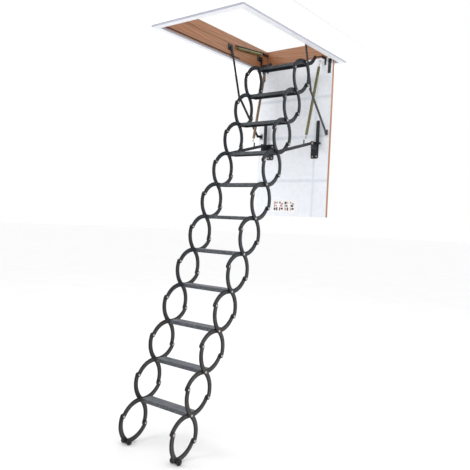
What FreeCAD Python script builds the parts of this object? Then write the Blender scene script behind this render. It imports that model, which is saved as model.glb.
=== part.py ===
"""Scissor attic ladder: a framed ceiling hatch whose lid carries a folding steel pantograph ladder.

Frame: origin at the centre of the hatch opening in the ceiling plane, +Z up into the attic,
+Y towards the lid's hinges, +X across the ladder. The parts are drawn with the lid hanging open
and the ladder fully extended.
"""
import FreeCAD, Part

import math
import os

doc = FreeCAD.newDocument("attic_ladder")

# ---------------------------------------------------------------- driving dimensions (mm)
DIMENSIONS = [
    ("frame_inner_width", 700, "clear width between the side boards"),
    ("frame_inner_length", 1320, "clear length between the end boards"),
    ("board_thickness", 20, "pine board thickness"),
    ("board_height", 171, "pine board height above the ceiling plane"),
    ("fixing_hole_diameter", 8, "screw holes through the side boards"),
    ("fixing_spacing_length", 900, "distance of the fixing holes along the frame"),
    ("fixing_height", 100, "height of the fixing holes above the ceiling"),
    ("casing_width", 46, "visible width of the casing strips"),
    ("casing_thickness", 16, "casing strips below the ceiling plane"),
    ("casing_side_gap", 5, "casing strip set back from the board face, sides"),
    ("casing_end_gap", 7, "casing strip set back from the board face, ends"),
    ("seal_height", 6, "height of the seal lips"),
    ("seal_low_z", 6, "lower edge of the seal lips above the ceiling plane"),
    ("seal_side_length", 900, "side seals along the boards"),
    ("seal_side_setback", 10, "side seals from the front board"),
    ("seal_front_setback", 30, "front seal from the side boards"),
    ("seal_side_width", 4, "reach of the side seals from the boards"),
    ("seal_front_width", 2.5, "reach of the front seal from the board"),
    ("lid_width", 690, "lid across the ladder"),
    ("lid_length", 1300, "lid along the frame"),
    ("lid_thickness", 36, "lid with both skins"),
    ("skin_thickness", 3, "lid skins"),
    ("lipping_width", 16, "wooden lipping round the lid core"),
    ("lid_face_y", 582, "ladder side of the hanging lid"),
    ("lid_top_z", 15, "upper end of the hanging lid"),
    ("hinge_wall_y", 550, "hinge link pivot on the side board"),
    ("hinge_wall_z", 80, "hinge link pivot above the ceiling"),
    ("hinge_pin_inset", 20, "hinge pin from the lid's upper end"),
    ("hinge_pin_stand", 12, "hinge pin in front of the lid's face"),
    ("hinge_link_width", 18, "hinge link bars"),
    ("hinge_link_thickness", 4, "hinge link bars"),
    ("hinge_link_x", 338, "middle plane of the hinge link bars"),
    ("hinge_plate_length", 90, "hinge plates on the side boards"),
    ("hinge_plate_height", 44, "hinge plates on the side boards"),
    ("hinge_strap_x", 306, "hinge straps on the lid, inner edge"),
    ("hinge_strap_width", 26, "hinge straps on the lid"),
    ("hinge_strap_length", 118, "hinge straps on the lid"),
    ("pivot_hole_diameter", 8, "holes of the hinge, strut and stay arm pivots"),
    ("pivot_pin_diameter", 7.9, "pins of the hinge, strut and stay arm pivots"),
    ("pin_head_diameter", 14, "heads of those pins"),
    ("ladder_half_gauge", 222, "plane between the two link layers of a side"),
    ("crossing_y", 360, "first crossing of the scissor links"),
    ("crossing_z", -69, "first crossing of the scissor links"),
    ("tread_rise", 250, "vertical distance of the treads"),
    ("tread_going", 120, "horizontal distance of the treads"),
    ("joint_spread", 109, "joints from the middle line of a chain"),
    ("link_arc_radius", 155, "bend of each half link"),
    ("link_width", 31, "width of the scissor links"),
    ("link_thickness", 12, "thickness of the scissor links"),
    ("layer_gap", 0.6, "air between the two link layers"),
    ("rivet_diameter", 7.9, "rivets in 8 mm holes"),
    ("rivet_hole_diameter", 8, "holes in the links"),
    ("rivet_head_diameter", 15, "rivet heads"),
    ("rivet_head_height", 2.5, "rivet heads"),
    ("tread_depth", 84, "treads front to back"),
    ("tread_front_overhang", 12, "tread front edge ahead of the crossing"),
    ("tread_top", 10, "tread surface above the crossing"),
    ("tread_height", 25, "front face of the treads"),
    ("tread_sheet", 2, "folded steel sheet of the treads"),
    ("foot_diameter", 40, "rubber feet"),
    ("foot_width", 15, "rubber feet"),
    ("foot_offset", 27, "rubber feet from the chain's middle plane"),
    ("axle_overhang", 4, "foot axles beyond the feet"),
    ("foot_rounding", 3, "rim of the rubber feet"),
    ("anchor_stud_diameter", 10, "studs that carry the ladder"),
    ("anchor_hole_diameter", 10.1, "holes of the top links"),
    ("anchor_plate_x", 288, "anchor plates, outer face"),
    ("anchor_plate_height", 26, "anchor plates"),
    ("anchor_plate_drop", 19, "lower edge of the anchor plates below the stud"),
    ("anchor_foot_width", 16, "anchor feet on the lid"),
    ("anchor_foot_height", 60, "anchor feet on the lid"),
    ("anchor_foot_drop", 55, "lower edge of the anchor feet below the stud"),
    ("plate_thickness", 3, "brackets and plates"),
    ("strut_pivot_y", 485, "strut pivot on the lid bracket"),
    ("strut_pivot_z", -692, "strut pivot on the lid bracket"),
    ("strut_x", 240, "middle plane of the struts"),
    ("strut_width", 24, "flat bar of the struts"),
    ("strut_thickness", 4, "flat bar of the struts"),
    ("strut_base_x", 184, "strut brackets, inner edge"),
    ("strut_base_width", 70, "strut brackets on the lid"),
    ("strut_base_height", 136, "strut brackets on the lid"),
    ("strut_base_drop", 112, "lower edge of the strut brackets below the pivot"),
    ("strut_cheek_height", 60, "cheeks that carry the struts"),
    ("strut_cheek_drop", 42, "lower edge of the cheeks below the pivot"),
    ("upright_width", 30, "uprights above the strut brackets"),
    ("upright_thickness", 6, "uprights above the strut brackets"),
    ("upright_height", 190, "uprights above the strut brackets"),
    ("upright_stand", 34, "uprights in front of the lid's face"),
    ("bracket_rounding", 14, "rounded ends of base and upright"),
    ("spring_lug_reach", 120, "spring lug ahead of the strut pivot"),
    ("spring_lug_width", 14, "spring lugs on the struts"),
    ("spring_lug_height", 44, "spring lugs on the struts"),
    ("stay_wall_y", 130, "stay arm pivot on the side board"),
    ("stay_wall_z", 70, "stay arm pivot on the side board"),
    ("stay_knee_y", 260, "knee of the stay arms"),
    ("stay_knee_z", -315, "knee of the stay arms"),
    ("stay_lid_y", 540, "stay arm pivot on the lid"),
    ("stay_lid_z", -595, "stay arm pivot on the lid"),
    ("stay_width", 24, "flat bar of the stay arms"),
    ("stay_thickness", 4, "flat bar of the stay arms"),
    ("stay_upper_x", 340, "middle plane of the upper stay arms"),
    ("stay_lower_x", 334, "middle plane of the lower stay arms"),
    ("stay_base_length", 64, "stay arm brackets on the side boards"),
    ("stay_base_height", 50, "stay arm brackets on the side boards"),
    ("stay_base_front", 40, "front edge of those brackets ahead of the pivot"),
    ("stay_ear_height", 22, "ears of the stay arm brackets on the lid"),
    ("stay_foot_width", 24, "stay arm brackets on the lid"),
    ("stay_foot_height", 44, "stay arm brackets on the lid"),
    ("ladder_spring_x", 266, "upper end of the ladder springs"),
    ("ladder_spring_diameter", 24, "coil springs between anchor and strut"),
    ("hatch_spring_diameter", 22, "coil springs on the side boards"),
    ("hatch_spring_inset", 12, "hatch springs from the side boards"),
    ("hatch_rod_diameter", 9, "guide rods above the hatch springs"),
    ("hatch_stop_diameter", 19, "stop cylinders on the guide rods"),
    ("hatch_stop_length", 64, "stop cylinders on the guide rods"),
]

sheet = doc.addObject("Spreadsheet::Sheet", "Dimensions")
for row, (alias, value, note) in enumerate(DIMENSIONS, start=1):
    sheet.set(f"A{row}", alias)
    sheet.set(f"B{row}", str(value))
    sheet.setAlias(f"B{row}", alias)
    sheet.set(f"C{row}", note)
doc.recompute()


def dim(alias):
    """Value of a driving dimension."""
    return float(sheet.get(alias))


CELL_COUNT = 11
SIDES = {1: "right", -1: "left"}
SUB_PARTS = []


# ---------------------------------------------------------------- helpers
def expr(text):
    """Turn 'd.name' shorthand into spreadsheet references."""
    return str(text).replace("d.", "Dimensions.")


def bind(obj, properties):
    """Bind properties of an object to expressions of the sheet."""
    for name, text in properties.items():
        obj.setExpression(name, expr(text))
    return obj


def box(name, size, low):
    """Box with expression-bound size and lowest corner."""
    obj = doc.addObject("Part::Box", name)
    bind(obj, dict(zip(("Length", "Width", "Height"), size)))
    return bind(obj, dict(zip(("Placement.Base.x", "Placement.Base.y", "Placement.Base.z"), low)))


def rod_x(name, diameter, length, start):
    """Cylinder along +X from its start point."""
    obj = doc.addObject("Part::Cylinder", name)
    obj.Placement = FreeCAD.Placement(FreeCAD.Vector(), FreeCAD.Rotation(FreeCAD.Vector(0, 1, 0), 90))
    bind(obj, {"Radius": f"({diameter}) / 2", "Height": length})
    return bind(obj, dict(zip(("Placement.Base.x", "Placement.Base.y", "Placement.Base.z"), start)))


def mirrored_start(side, inner, length):
    """Lowest x of something that starts at |x| = inner on the given side."""
    return f"{inner}" if side > 0 else f"-({inner}) - ({length})"


def cut(name, base, tools):
    """Base with tools removed one after the other."""
    for number, tool in enumerate(tools):
        step = doc.addObject("Part::Cut", f"{name}_cut{number}")
        step.Base = base
        step.Tool = tool
        base = step
    return base


def sub_part(name, members):
    """Register a named sub-part made of one or more separate solids."""
    if len(members) == 1:
        obj = members[0]
    else:
        obj = doc.addObject("Part::Compound", name)
        obj.Links = members
    obj.Label = name
    SUB_PARTS.append((name, obj))
    return obj


def feature(name, shape):
    """Shape made with Part's own functions."""
    obj = doc.addObject("Part::Feature", name)
    obj.Shape = shape
    return obj


def vec(x, point):
    """3-D point from an x value and a (y, z) pair."""
    return FreeCAD.Vector(x, point[0], point[1])


def turned(point, angle):
    """(y, z) pair turned by an angle in radians, from +Y towards +Z."""
    return (point[0] * math.cos(angle) - point[1] * math.sin(angle),
            point[0] * math.sin(angle) + point[1] * math.cos(angle))


def added(first, second):
    return (first[0] + second[0], first[1] + second[1])


def pin(x_start, length, diameter, point):
    """Round pin along +X as a plain shape."""
    return Part.makeCylinder(diameter / 2, length, vec(x_start, point), FreeCAD.Vector(1, 0, 0))


def flat_bar(x_start, thickness, width, ends, hole_diameter):
    """Straight bar with round ends and a hole at each end, in a plane of constant x."""
    (y0, z0), (y1, z1) = ends
    length = math.hypot(y1 - y0, z1 - z0)
    across = (-(z1 - z0) / length * width / 2, (y1 - y0) / length * width / 2)
    along = ((y1 - y0) / length * width / 2, (z1 - z0) / length * width / 2)
    corners = [added(ends[0], across), added(ends[1], across),
               (y1 - across[0], z1 - across[1]), (y0 - across[0], z0 - across[1])]
    points = [vec(x_start, corner) for corner in corners]
    edges = [Part.LineSegment(points[0], points[1]).toShape(),
             Part.Arc(points[1], vec(x_start, added(ends[1], along)), points[2]).toShape(),
             Part.LineSegment(points[2], points[3]).toShape(),
             Part.Arc(points[3], vec(x_start, (y0 - along[0], z0 - along[1])), points[0]).toShape()]
    bar = Part.Face(Part.Wire(edges)).extrude(FreeCAD.Vector(thickness, 0, 0))
    for end in ends:
        bar = bar.cut(pin(x_start - 1, thickness + 2, hole_diameter, end))
    return bar


def layer_start(side, inner, thickness):
    """Lowest x of a layer whose inner face is at |x| = inner."""
    return inner if side > 0 else -inner - thickness


def side_box(side, inner, size, low):
    """Plain box on one side: inner face at |x| = inner, (x, y, z) size, lowest (y, z)."""
    return Part.makeBox(*size, vec(layer_start(side, inner, size[0]), low))


def side_pin(side, inner, length, diameter, point):
    """Pin on one side whose inner end is at |x| = inner."""
    return pin(layer_start(side, inner, length), length, diameter, point)


# ---------------------------------------------------------------- frame of the hatch
HALF_W = "d.frame_inner_width / 2"
HALF_L = "d.frame_inner_length / 2"
OUTER_L = "(d.frame_inner_length + 2 * d.board_thickness)"

for side, word in SIDES.items():
    board = box(f"board_{word}", ("d.board_thickness", OUTER_L, "d.board_height"),
                (mirrored_start(side, HALF_W, "d.board_thickness"), f"-{OUTER_L} / 2", "0"))
    holes = []
    for end in (-1, 1):
        holes.append(rod_x(f"fixing_{word}_{end + 1}", "d.fixing_hole_diameter", "d.board_thickness + 2",
                           (mirrored_start(side, f"{HALF_W} - 1", "d.board_thickness + 2"),
                            f"{end} * d.fixing_spacing_length / 2", "d.fixing_height")))
    sub_part(f"frame_side_{word}", [cut(f"frame_side_{word}", board, holes)])

for end, word in ((-1, "front"), (1, "hinge")):
    low_y = HALF_L if end > 0 else f"-{HALF_L} - d.board_thickness"
    sub_part(f"frame_end_{word}", [box(f"frame_end_{word}",
             ("d.frame_inner_width", "d.board_thickness", "d.board_height"), (f"-{HALF_W}", low_y, "0"))])

CASING_X = f"({HALF_W} + d.casing_side_gap)"
CASING_Y = f"({HALF_L} + d.casing_end_gap)"
strips = []
for side, word in SIDES.items():
    strips.append(box(f"casing_{word}",
                      ("d.casing_width", f"2 * {CASING_Y} + 2 * d.casing_width", "d.casing_thickness"),
                      (mirrored_start(side, CASING_X, "d.casing_width"), f"-{CASING_Y} - d.casing_width",
                       "-d.casing_thickness")))
for word, low_y in (("hinge", CASING_Y), ("front", f"-{CASING_Y} - d.casing_width")):
    strips.append(box(f"casing_{word}", (f"2 * {CASING_X}", "d.casing_width", "d.casing_thickness"),
                      (f"-{CASING_X}", low_y, "-d.casing_thickness")))
sub_part("casing_strips", strips)

# seal lips stand on the boards, beside the edges of the closed lid
seals = []
for side, word in SIDES.items():
    seals.append(box(f"seal_{word}", ("d.seal_side_width", "d.seal_side_length", "d.seal_height"),
                     (mirrored_start(side, f"{HALF_W} - d.seal_side_width", "d.seal_side_width"),
                      f"-{HALF_L} + d.seal_side_setback", "d.seal_low_z")))
seals.append(box("seal_front",
                 ("d.frame_inner_width - 2 * d.seal_front_setback", "d.seal_front_width", "d.seal_height"),
                 (f"-{HALF_W} + d.seal_front_setback", f"-{HALF_L}", "d.seal_low_z")))
sub_part("frame_seal", seals)

# ---------------------------------------------------------------- lid, hanging open
LID_LOW_X = "-d.lid_width / 2"
LID_BOTTOM = "d.lid_top_z - d.lid_length"
core = box("lid_core_box",
           ("d.lid_width - 2 * d.lipping_width", "d.lid_thickness - 2 * d.skin_thickness",
            "d.lid_length - 2 * d.lipping_width"),
           (f"{LID_LOW_X} + d.lipping_width", "d.lid_face_y + d.skin_thickness",
            f"{LID_BOTTOM} + d.lipping_width"))
sub_part("lid_core", [core])
rim = box("lid_rim", ("d.lid_width", "d.lid_thickness - 2 * d.skin_thickness", "d.lid_length"),
          (LID_LOW_X, "d.lid_face_y + d.skin_thickness", LID_BOTTOM))
hollow = box("lid_rim_hollow",
             ("d.lid_width - 2 * d.lipping_width", "d.lid_thickness", "d.lid_length - 2 * d.lipping_width"),
             (f"{LID_LOW_X} + d.lipping_width", "d.lid_face_y", f"{LID_BOTTOM} + d.lipping_width"))
sub_part("lid_edge_lipping", [cut("lid_edge_lipping", rim, [hollow])])
for word, low_y in (("attic", "d.lid_face_y"),
                    ("room", "d.lid_face_y + d.lid_thickness - d.skin_thickness")):
    sub_part(f"lid_skin_{word}", [box(f"lid_skin_{word}", ("d.lid_width", "d.skin_thickness", "d.lid_length"),
                                      (LID_LOW_X, low_y, LID_BOTTOM))])

# ---------------------------------------------------------------- lid hinges: plates, swinging links
plate = dim("plate_thickness")
face_y = dim("lid_face_y")
wall_x = dim("frame_inner_width") / 2
hinge_wall = (dim("hinge_wall_y"), dim("hinge_wall_z"))
hinge_lid = (face_y - dim("hinge_pin_stand"), dim("lid_top_z") - dim("hinge_pin_inset"))
link_x = dim("hinge_link_x")
link_bar = dim("hinge_link_thickness")
pivot_hole = dim("pivot_hole_diameter")
pivot_pin = dim("pivot_pin_diameter")
head_diameter = dim("pin_head_diameter")
plate_length = dim("hinge_plate_length")
plate_height = dim("hinge_plate_height")
strap_size = (dim("hinge_strap_width"), plate, dim("hinge_strap_length"))
strap_above_pin = 8
pin_head = 2
pin_inner = link_x - link_bar / 2 - 4
ear_width = 20
ear_drop = 14
ear_point = (face_y - ear_width / 2 - 0.5, hinge_lid[1] - ear_drop)
ear_pilot_hole = 0.5
ear_foot_size = (plate, 8, 30)
lid_pin_length = 9

wall_plates, hinge_links, lid_plates = [], [], []
for side, word in SIDES.items():
    base = side_box(side, wall_x - plate, (plate, plate_length, plate_height),
                    (hinge_wall[0] - plate_length / 2, hinge_wall[1] - plate_height / 2))
    shaft = side_pin(side, pin_inner, wall_x - plate - pin_inner, pivot_pin, hinge_wall)
    head = side_pin(side, pin_inner - pin_head, pin_head, head_diameter, hinge_wall)
    wall_plates.append(feature(f"hinge_wall_plate_{word}", base.fuse(shaft).fuse(head)))
    bar = flat_bar(layer_start(side, link_x - link_bar / 2, link_bar), link_bar, dim("hinge_link_width"),
                   (hinge_wall, hinge_lid), pivot_hole)
    hinge_links.append(feature(f"hinge_link_{word}", bar))
    strap = side_box(side, dim("hinge_strap_x"), strap_size,
                     (face_y - plate, hinge_lid[1] + strap_above_pin - strap_size[2]))
    ear = flat_bar(layer_start(side, pin_inner, plate), plate, ear_width, (hinge_lid, ear_point),
                   ear_pilot_hole)
    ear_foot = side_box(side, pin_inner, ear_foot_size,
                        (face_y - ear_foot_size[1], hinge_lid[1] - ear_foot_size[2]))
    shaft = side_pin(side, pin_inner, lid_pin_length, pivot_pin, hinge_lid)
    joined = strap.fuse(ear).fuse(ear_foot).fuse(shaft)
    lid_plates.append(feature(f"hinge_lid_plate_{word}", joined))
sub_part("hinge_wall_plates", wall_plates)
sub_part("hinge_links", hinge_links)
sub_part("hinge_lid_plates", lid_plates)

# ---------------------------------------------------------------- scissor links
rise = dim("tread_rise")
going = dim("tread_going")
cell = math.hypot(rise, going)
axis_angle = math.atan2(-rise, -going)
spread = dim("joint_spread")
half_link = math.hypot(cell / 2, spread)
opening_angle = math.atan2(spread, cell / 2)
bend = math.asin(half_link / 2 / dim("link_arc_radius"))
arc_radius = dim("link_arc_radius")
half_width = dim("link_width") / 2
thickness = dim("link_thickness")
gauge = dim("ladder_half_gauge")
layer_gap = dim("layer_gap")
INNER_LAYER = gauge - layer_gap / 2 - thickness
OUTER_LAYER = gauge + layer_gap / 2


def crossing(number):
    """(y, z) of a scissor crossing, counted from 1 at the top."""
    return (dim("crossing_y") - going * (number - 1), dim("crossing_z") - rise * (number - 1))


def link_end(number, towards):
    """(y, z) of the joint of link pair `number`: 'inner' links end front below, 'outer' back below."""
    angle = axis_angle - opening_angle if towards == "inner" else axis_angle + opening_angle
    return added(crossing(number), turned((half_link, 0), angle))


def opposite_end(number, towards):
    """(y, z) of the upper joint of a link, point-symmetric to its lower joint."""
    centre = crossing(number)
    lower = link_end(number, towards)
    return (2 * centre[0] - lower[0], 2 * centre[1] - lower[1])


def link_shape(side, number, towards, halves, hole_sizes):
    """S-shaped flat link of two arcs; halves lists which of 'upper' and 'lower' exist."""
    inner = INNER_LAYER if towards == "inner" else OUTER_LAYER
    start = layer_start(side, inner, thickness)
    angle = axis_angle - opening_angle if towards == "inner" else axis_angle + opening_angle
    turn = 1 if towards == "inner" else -1
    centre = crossing(number)

    def place(along, across):
        return vec(start, added(centre, turned((along, turn * across), angle)))

    def arc_point(sign, offset, tau):
        """Point of one half: sign 1 is the lower half, tau runs from -bend to +bend."""
        radius = arc_radius + offset
        along = half_link / 2 + radius * math.sin(tau)
        across = arc_radius * math.cos(bend) - radius * math.cos(tau)
        return place(sign * along, sign * across)

    def side_arc(sign, offset, outward):
        taus = (-bend, 0, bend) if outward else (bend, 0, -bend)
        return Part.Arc(*[arc_point(sign, offset, tau) for tau in taus]).toShape()

    def end_cap(sign):
        tip = place(sign * (half_link + half_width * math.cos(bend)), sign * half_width * math.sin(bend))
        return Part.Arc(arc_point(sign, half_width, bend), tip, arc_point(sign, -half_width, bend)).toShape()

    def centre_cap(sign):
        tip = place(-sign * half_width * math.cos(bend), sign * half_width * math.sin(bend))
        first, last = arc_point(sign, -half_width, -bend), arc_point(sign, half_width, -bend)
        return Part.Arc(first, tip, last).toShape()

    if len(halves) == 2:
        edges = [side_arc(1, half_width, True), end_cap(1), side_arc(1, -half_width, False),
                 side_arc(-1, half_width, True), end_cap(-1), side_arc(-1, -half_width, False)]
    else:
        sign = 1 if halves[0] == "lower" else -1
        edges = [side_arc(sign, half_width, True), end_cap(sign), side_arc(sign, -half_width, False),
                 centre_cap(sign)]
    link = Part.Face(Part.Wire(edges)).extrude(FreeCAD.Vector(thickness, 0, 0))
    ends = {"centre": centre, "lower": link_end(number, towards), "upper": opposite_end(number, towards)}
    for place_name, diameter in hole_sizes.items():
        link = link.cut(pin(start - 1, thickness + 2, diameter, ends[place_name]))
    return link


def rivet(side, point, inner_head):
    """Rivet through both layers with a head outside, and one inside where there is room."""
    low = INNER_LAYER
    high = OUTER_LAYER + thickness
    head = dim("rivet_head_height")
    shape = pin(layer_start(side, low, high - low), high - low, dim("rivet_diameter"), point)
    shape = shape.fuse(pin(layer_start(side, high, head), head, dim("rivet_head_diameter"), point))
    if inner_head:
        shape = shape.fuse(pin(layer_start(side, low - head, head), head, dim("rivet_head_diameter"), point))
    return shape


rivet_hole = dim("rivet_hole_diameter")
stud_hole = dim("anchor_hole_diameter")
for number in range(1, CELL_COUNT + 2):
    first = number == 1
    last = number == CELL_COUNT + 1
    # inner layer: upper end behind, lower end in front, carries the tread
    halves = ("upper",) if last else ("upper", "lower")
    holes = {"centre": rivet_hole, "upper": stud_hole if first else rivet_hole}
    if not last:
        holes["lower"] = rivet_hole
    sub_part(f"inner_links_{number:02d}",
             [feature(f"inner_link_{number:02d}_{word}", link_shape(side, number, "inner", halves, holes))
              for side, word in SIDES.items()])
    # outer layer: upper end in front, lower end behind, carries the rivets
    halves = ("lower",) if first else ("upper",) if last else ("upper", "lower")
    holes = {"centre": rivet_hole}
    holes.update({half: rivet_hole for half in halves})
    members = []
    for side, word in SIDES.items():
        members.append(feature(f"outer_link_{number:02d}_{word}",
                               link_shape(side, number, "outer", halves, holes)))
        if not last:
            members.append(feature(f"crossing_rivet_{number:02d}_{word}",
                                   rivet(side, crossing(number), False)))
            members.append(feature(f"lower_rivet_{number:02d}_{word}",
                                   rivet(side, link_end(number, "outer"), True)))
        if not first:
            members.append(feature(f"upper_rivet_{number:02d}_{word}",
                                   rivet(side, opposite_end(number, "outer"), True)))
    sub_part(f"outer_links_{number:02d}", members)

# ---------------------------------------------------------------- treads: folded steel channels
tread_end = INNER_LAYER
for number in range(1, CELL_COUNT + 1):
    span = f"2 * {tread_end}"
    front = f"d.crossing_y - {number - 1} * d.tread_going - d.tread_front_overhang"
    top = f"d.crossing_z - {number - 1} * d.tread_rise + d.tread_top"
    name = f"tread_{number:02d}"
    outer = box(f"{name}_blank", (span, "d.tread_depth", "d.tread_height"),
                (f"-{tread_end}", front, f"{top} - d.tread_height"))
    inside = box(f"{name}_inside", (f"{span} - 2 * d.tread_sheet", "d.tread_depth - 2 * d.tread_sheet",
                                    "d.tread_height"),
                 (f"-{tread_end} + d.tread_sheet", f"{front} + d.tread_sheet",
                  f"{top} - d.tread_height - d.tread_sheet"))
    sub_part(name, [cut(name, outer, [inside])])

# ---------------------------------------------------------------- feet at the lowest crossing
foot_point = crossing(CELL_COUNT + 1)
foot_width = dim("foot_width")
axle_reach = dim("foot_offset") + foot_width / 2 + dim("axle_overhang")
axle = dim("rivet_diameter")
axles, feet = [], []
for side, word in SIDES.items():
    axles.append(feature(f"axle_{word}", pin(side * gauge - axle_reach, 2 * axle_reach, axle, foot_point)))
    for offset in (-dim("foot_offset"), dim("foot_offset")):
        start = side * gauge + offset - foot_width / 2
        disc = pin(start, foot_width, dim("foot_diameter"), foot_point)
        rims = [edge for edge in disc.Edges if isinstance(edge.Curve, Part.Circle)]
        disc = disc.makeFillet(dim("foot_rounding"), rims)
        disc = disc.cut(pin(start, foot_width, axle, foot_point))
        feet.append(feature(f"foot_{word}_{'outer' if offset * side > 0 else 'inner'}", disc))
sub_part("foot_axles", axles)
sub_part("rubber_feet", feet)

# ---------------------------------------------------------------- anchor brackets at the lid's upper end
anchor = opposite_end(1, "inner")
cheek_x = dim("anchor_plate_x") - plate
cheek_front = 12
anchor_foot_x = dim("anchor_plate_x") - dim("anchor_foot_width")
stud_x = INNER_LAYER - 4
anchors = []
for side, word in SIDES.items():
    cheek = side_box(side, cheek_x, (plate, face_y - anchor[0] + cheek_front, dim("anchor_plate_height")),
                     (anchor[0] - cheek_front, anchor[1] - dim("anchor_plate_drop")))
    foot = side_box(side, anchor_foot_x, (dim("anchor_foot_width"), plate, dim("anchor_foot_height")),
                    (face_y - plate, anchor[1] - dim("anchor_foot_drop")))
    stud = side_pin(side, stud_x, dim("anchor_plate_x") - stud_x, dim("anchor_stud_diameter"), anchor)
    anchors.append(feature(f"anchor_{word}", cheek.fuse(foot).fuse(stud)))
sub_part("anchor_brackets", anchors)

# ---------------------------------------------------------------- support struts and their brackets
strut_pivot = (dim("strut_pivot_y"), dim("strut_pivot_z"))
strut_end = crossing(4)
strut_slope = (strut_end[1] - strut_pivot[1]) / (strut_end[0] - strut_pivot[0])
strut_inner = dim("strut_x") - dim("strut_thickness") / 2
strut_outer = dim("strut_x") + dim("strut_thickness") / 2
bracket_x = strut_outer + 0.5
base_low = strut_pivot[1] - dim("strut_base_drop")
upright_low = strut_pivot[1] + 4
brace_depth = 40
brace_height = 14
cheek_front = 12
shaft_overhang = 2
bolt_height = 4
lug_reach = dim("spring_lug_reach")
hook_point = added(strut_pivot, (-lug_reach, -lug_reach * strut_slope))


def rounded_ends(shape, radius, axis, keep):
    """Shape with a fillet on its edges parallel to `axis` whose middle height passes `keep`."""
    picked = [edge for edge in shape.Edges
              if abs(abs(edge.tangentAt(edge.FirstParameter).dot(axis)) - 1) < 1e-6
              and keep(edge.CenterOfMass.z)]
    return shape.makeFillet(radius, picked)


along_y = FreeCAD.Vector(0, 1, 0)
strut_brackets, struts = [], []
for side, word in SIDES.items():
    base = side_box(side, dim("strut_base_x"), (dim("strut_base_width"), plate, dim("strut_base_height")),
                    (face_y - plate, base_low))
    base = rounded_ends(base, dim("bracket_rounding"), along_y, lambda height: height < base_low + 1)
    cheek = side_box(side, bracket_x,
                     (plate, face_y - strut_pivot[0] + cheek_front, dim("strut_cheek_height")),
                     (strut_pivot[0] - cheek_front, strut_pivot[1] - dim("strut_cheek_drop")))
    upright = side_box(side, bracket_x,
                       (dim("upright_width"), dim("upright_thickness"), dim("upright_height")),
                       (face_y - dim("upright_stand"), upright_low))
    upright = rounded_ends(upright, dim("bracket_rounding"), along_y,
                           lambda height: height > upright_low + dim("upright_height") - 1)
    brace = side_box(side, bracket_x, (dim("upright_width"), brace_depth, brace_height),
                     (face_y - brace_depth, upright_low))
    shaft_inner = strut_inner - shaft_overhang
    shaft = side_pin(side, shaft_inner, bracket_x - shaft_inner, pivot_pin, strut_pivot)
    joined = base.fuse(cheek).fuse(upright).fuse(brace).fuse(shaft)
    strut_brackets.append(feature(f"strut_bracket_{word}", joined))
    bar = flat_bar(layer_start(side, strut_inner, dim("strut_thickness")), dim("strut_thickness"),
                   dim("strut_width"), (strut_pivot, strut_end), pivot_hole)
    bolt = side_pin(side, strut_inner, dim("strut_thickness") + bolt_height, pivot_pin, strut_end)
    bolt_head = side_pin(side, strut_outer, bolt_height, head_diameter, strut_end)
    lug = side_box(side, strut_inner,
                   (dim("strut_thickness"), dim("spring_lug_width"), dim("spring_lug_height")),
                   (hook_point[0] - dim("spring_lug_width") / 2, hook_point[1]))
    struts.append(feature(f"strut_{word}", bar.fuse(bolt).fuse(bolt_head).fuse(lug)))
sub_part("strut_brackets", strut_brackets)
sub_part("support_struts", struts)

# ---------------------------------------------------------------- stay arms of the lid
stay_wall = (dim("stay_wall_y"), dim("stay_wall_z"))
stay_knee = (dim("stay_knee_y"), dim("stay_knee_z"))
stay_lid = (dim("stay_lid_y"), dim("stay_lid_z"))
stay_bar = dim("stay_thickness")
upper_inner = dim("stay_upper_x") - stay_bar / 2
lower_inner = dim("stay_lower_x") - stay_bar / 2
pin_end = upper_inner - 2
knee_length = stay_bar + 1.5
ear_gap = 0.5
ear_inner = lower_inner - ear_gap - plate
ear_front = 9
wall_brackets, upper_arms, lower_arms, lid_brackets = [], [], [], []
for side, word in SIDES.items():
    base = side_box(side, wall_x - plate, (plate, dim("stay_base_length"), dim("stay_base_height")),
                    (stay_wall[0] - dim("stay_base_front"), stay_wall[1] - dim("stay_base_height") / 2))
    shaft = side_pin(side, pin_end, wall_x - plate - pin_end, pivot_pin, stay_wall)
    wall_brackets.append(feature(f"stay_wall_bracket_{word}", base.fuse(shaft)))
    upper = flat_bar(layer_start(side, upper_inner, stay_bar), stay_bar, dim("stay_width"),
                     (stay_wall, stay_knee), pivot_hole)
    upper_arms.append(feature(f"stay_upper_arm_{word}", upper))
    lower = flat_bar(layer_start(side, lower_inner, stay_bar), stay_bar, dim("stay_width"),
                     (stay_knee, stay_lid), pivot_hole)
    knee = side_pin(side, lower_inner, knee_length, pivot_hole, stay_knee)
    lower_arms.append(feature(f"stay_lower_arm_{word}", lower.fuse(knee)))
    ear = side_box(side, ear_inner, (plate, face_y - stay_lid[0] + ear_front, dim("stay_ear_height")),
                   (stay_lid[0] - ear_front, stay_lid[1] - dim("stay_ear_height") / 2))
    foot = side_box(side, ear_inner + plate - dim("stay_foot_width"),
                    (dim("stay_foot_width"), plate, dim("stay_foot_height")),
                    (face_y - plate, stay_lid[1] - dim("stay_foot_height") / 2))
    shaft = side_pin(side, ear_inner + plate, stay_bar + ear_gap, pivot_pin, stay_lid)
    lid_brackets.append(feature(f"stay_lid_bracket_{word}", ear.fuse(foot).fuse(shaft)))
sub_part("stay_wall_brackets", wall_brackets)
sub_part("stay_upper_arms", upper_arms)
sub_part("stay_lower_arms", lower_arms)
sub_part("stay_lid_brackets", lid_brackets)

# ---------------------------------------------------------------- springs
def slanted_rod(start, end, diameter):
    """Round rod between two 3-D points."""
    direction = end - start
    return Part.makeCylinder(diameter / 2, direction.Length, start, direction)


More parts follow.
